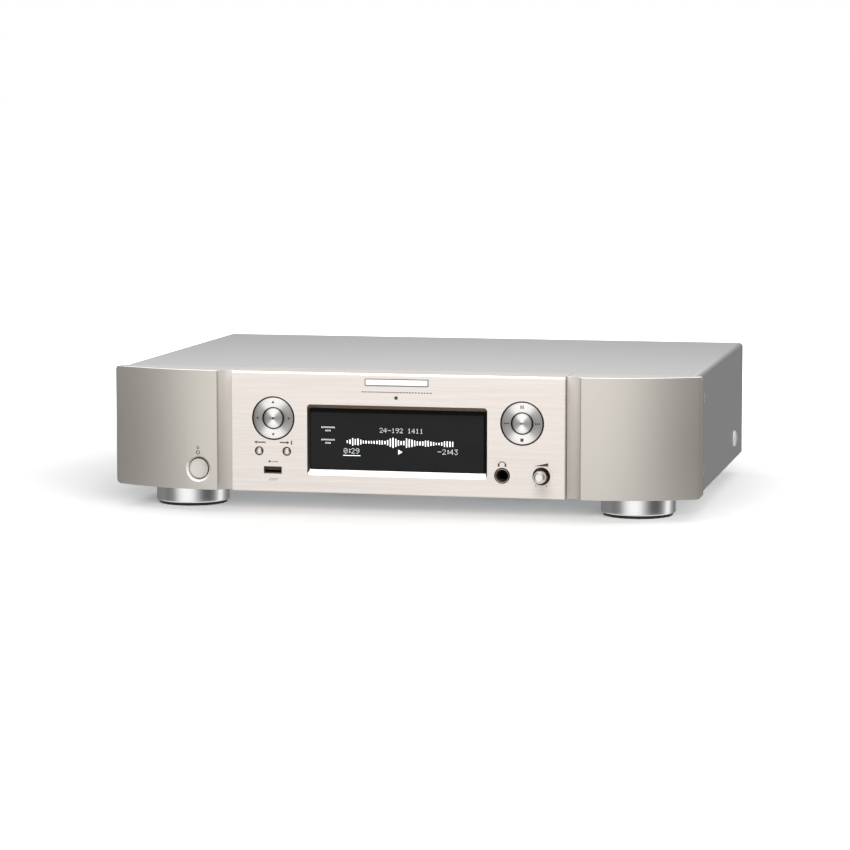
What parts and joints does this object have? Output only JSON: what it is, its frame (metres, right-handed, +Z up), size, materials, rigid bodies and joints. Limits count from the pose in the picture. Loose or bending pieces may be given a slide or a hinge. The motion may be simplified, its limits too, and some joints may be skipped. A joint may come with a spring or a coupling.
{
  "type": "network audio player",
  "caption": "Full-width network audio player: brushed centre plate, curved wings, smoked display, ring controls, push buttons, level knob, USB and headphone sockets, round feet.",
  "frame": {"origin": "middle of the footprint, on the surface that the foot pads stand on", "axes": "+X to the right as seen from the front, +Y from the front panel to the back, +Z up"},
  "size_m": [0.44, 0.341, 0.105],
  "materials": {
    "champagne_plate": "brushed, champagne gold",
    "wing_finish": "satin metallic champagne paint on moulded plastic",
    "chassis_steel": "zinc-plated sheet",
    "cover_paint": "fine-textured silver paint",
    "rear_panel_paint": "matt black paint",
    "foot_chrome": "bright spun metal",
    "rubber": "matt",
    "screw_plating": "bright plating",
    "smoked_window": "gloss, smoked",
    "black_plastic": "moulded",
    "circuit_board": "green solder mask",
    "button_metal": "spun, fine turning lines",
    "led_lens": "clear",
    "socket_steel": "nickel plating",
    "transformer_iron": "varnished laminations",
    "capacitor_sleeve": "shrink sleeve",
    "heatsink_aluminium": "black anodised",
    "ribbon": "flat cable",
    "contact_gold": "gold plating"
  },
  "bodies": {
    "root": {"front_plate": "champagne_plate", "wing_left": "wing_finish", "wing_right": "wing_finish", "front_bracket": "chassis_steel", "base_chassis": "chassis_steel", "top_cover": "cover_paint", "rear_panel": "rear_panel_paint", "foot_front_left": "foot_chrome", "foot_pad_front_left": "rubber", "foot_front_right": "foot_chrome", "foot_pad_front_right": "rubber", "foot_rear_left": "foot_chrome", "foot_pad_rear_left": "rubber", "foot_rear_right": "foot_chrome", "foot_pad_rear_right": "rubber", "side_screw_left_front_upper": "screw_plating", "side_screw_left_front_lower": "screw_plating", "side_screw_left_rear": "screw_plating", "side_screw_right_front_upper": "screw_plating", "side_screw_right_front_lower": "screw_plating", "side_screw_right_rear": "screw_plating", "display_window": "smoked_window", "display_module": "black_plastic", "power_switch": "black_plastic", "phones_jack": "black_plastic", "mains_inlet": "black_plastic", "remote_jacks": "black_plastic", "optical_socket": "black_plastic", "front_board": "circuit_board", "main_board": "circuit_board", "power_board": "circuit_board", "network_module": "circuit_board", "standby_led": "led_lens", "usb_socket": "socket_steel", "level_pot": "socket_steel", "ethernet_jack": "socket_steel", "phones_jack_ring": "socket_steel", "transformer": "transformer_iron", "capacitor_1": "capacitor_sleeve", "capacitor_2": "capacitor_sleeve", "heatsink": "heatsink_aluminium", "ribbon_cable": "ribbon", "audio_output_jacks": "contact_gold", "coaxial_jack": "contact_gold", "antenna_socket_left": "contact_gold", "antenna_socket_right": "contact_gold"},
    "nav_ring_carrier": {"nav_ring_carrier": "black_plastic"},
    "nav_ring": {"nav_ring": "button_metal"},
    "enter_button": {"enter_button": "button_metal"},
    "transport_ring_carrier": {"transport_ring_carrier": "black_plastic"},
    "transport_ring": {"transport_ring": "button_metal"},
    "play_button": {"play_button": "button_metal"},
    "back_button": {"back_button": "button_metal"},
    "input_button": {"input_button": "button_metal"},
    "power_button": {"power_button": "button_metal"},
    "level_knob": {"level_knob": "button_metal"},
    "optical_shutter": {"optical_shutter": "black_plastic"}
  },
  "joints": [
    {"name": "nav_ring_up_down", "type": "hinge", "parent": "root", "child": "nav_ring_carrier", "pos_m": [-0.0925, -0.1547, 0.0707], "axis": [1, 0, 0], "range_deg": [-2.5, 2.5], "stiffness_Nm_per_rad": 0.5},
    {"name": "nav_ring_left_right", "type": "hinge", "parent": "nav_ring_carrier", "child": "nav_ring", "pos_m": [-0.0925, -0.1547, 0.0707], "axis": [0, 0, 1], "range_deg": [-2.5, 2.5], "stiffness_Nm_per_rad": 0.5},
    {"name": "transport_ring_up_down", "type": "hinge", "parent": "root", "child": "transport_ring_carrier", "pos_m": [0.0926, -0.1547, 0.071], "axis": [1, 0, 0], "range_deg": [-2.5, 2.5], "stiffness_Nm_per_rad": 0.5},
    {"name": "transport_ring_left_right", "type": "hinge", "parent": "transport_ring_carrier", "child": "transport_ring", "pos_m": [0.0926, -0.1547, 0.071], "axis": [0, 0, 1], "range_deg": [-2.5, 2.5], "stiffness_Nm_per_rad": 0.5},
    {"name": "enter_press", "type": "slide", "parent": "root", "child": "enter_button", "axis": [0, 1, 0], "range_m": [0, 0.0008], "stiffness_N_per_m": 2000},
    {"name": "play_press", "type": "slide", "parent": "root", "child": "play_button", "axis": [0, 1, 0], "range_m": [0, 0.0008], "stiffness_N_per_m": 2000},
    {"name": "back_press", "type": "slide", "parent": "root", "child": "back_button", "axis": [0, 1, 0], "range_m": [0, 0.0008], "stiffness_N_per_m": 1500},
    {"name": "input_press", "type": "slide", "parent": "root", "child": "input_button", "axis": [0, 1, 0], "range_m": [0, 0.0008], "stiffness_N_per_m": 1500},
    {"name": "power_press", "type": "slide", "parent": "root", "child": "power_button", "axis": [0, 1, 0], "range_m": [0, 0.003], "stiffness_N_per_m": 1000},
    {"name": "level_turn", "type": "hinge", "parent": "root", "child": "level_knob", "pos_m": [0.1068, -0.1605, 0.0331], "axis": [0, -1, 0], "range_deg": [-150, 150]},
    {"name": "optical_shutter_swing", "type": "hinge", "parent": "root", "child": "optical_shutter", "pos_m": [0.092, 0.1604, 0.0492], "axis": [-1, 0, 0], "range_deg": [0, 80], "stiffness_Nm_per_rad": 0.0005}
  ]
}
